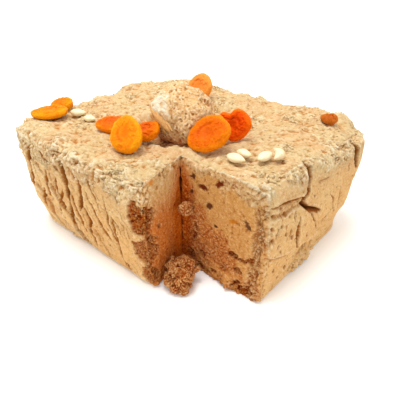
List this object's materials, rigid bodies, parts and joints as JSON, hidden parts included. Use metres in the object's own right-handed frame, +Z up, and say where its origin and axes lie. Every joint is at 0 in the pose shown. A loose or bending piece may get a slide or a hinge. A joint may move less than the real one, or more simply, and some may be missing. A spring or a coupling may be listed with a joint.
{
  "type": "peanut halva block",
  "caption": "Tapered slab of crumbly peanut halva with one corner cut away, topped with a broken lump of halva, dried apricots and peeled peanuts.",
  "frame": {"origin": "on the flat base, in the middle of the slab as it was before the corner was cut", "axes": "+Z up from the table, +X and -Y towards the cut corner, X along the slab's longer side"},
  "size_m": [0.2545, 0.2137, 0.1406],
  "materials": {
    "halva": "dry, crumbly and porous, pale golden brown",
    "halva_crumb": "coarse granulated brown crumb",
    "dried_apricot": "soft leathery fruit, slightly translucent, satin sheen",
    "dried_apricot_dark": "soft leathery fruit, deeper orange, satin sheen",
    "peanut": "smooth peeled nut, cream, satin"
  },
  "bodies": {
    "root": {"halva_block": "halva", "halva_lump": "halva", "crease_nugget": "halva_crumb", "notch_lump": "halva_crumb", "apricot_front": "dried_apricot", "apricot_right": "dried_apricot_dark", "apricot_left": "dried_apricot", "apricot_mid_right": "dried_apricot_dark", "apricot_middle": "dried_apricot", "apricot_back": "dried_apricot", "apricot_corner_low": "dried_apricot", "apricot_corner_high": "dried_apricot", "apricot_far_right": "dried_apricot_dark", "peanut_1": "peanut", "peanut_2": "peanut", "peanut_3": "peanut", "peanut_4": "peanut", "peanut_5": "peanut", "peanut_6": "peanut"}
  },
  "joints": []
}
